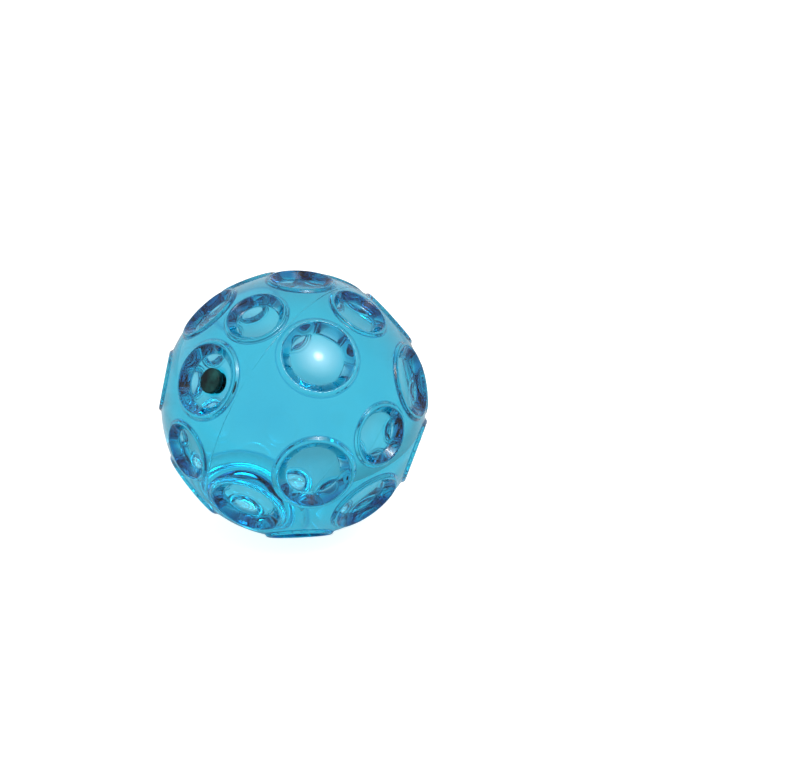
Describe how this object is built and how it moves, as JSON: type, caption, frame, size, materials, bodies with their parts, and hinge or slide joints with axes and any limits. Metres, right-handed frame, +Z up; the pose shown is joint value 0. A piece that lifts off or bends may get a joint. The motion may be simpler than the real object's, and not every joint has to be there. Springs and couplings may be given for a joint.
{
  "type": "dryer ball",
  "caption": "Gel-filled round dryer ball whose clear shell is covered in raised rings around shallow dishes.",
  "frame": {"origin": "on the surface that the ball rests on, under the middle of the ball", "axes": "+Z up as the ball rests on the ring of one large crater; -Y faces the viewer, +X to the viewer's right, with the plug on the left and the plain panel in front"},
  "size_m": [0.07, 0.0698, 0.0682],
  "materials": {
    "shell": "clear soft PVC with a blue tint that gives the ball most of its colour, moulded glossy",
    "gel": "clear gel with a faint blue tint that wets the whole inside of the shell",
    "plug": "dark green-black moulded rubber, satin"
  },
  "bodies": {
    "root": {"panel_half_shell": "shell", "plug_half_shell": "shell", "gel_filling": "gel", "fill_plug": "plug"}
  },
  "joints": []
}
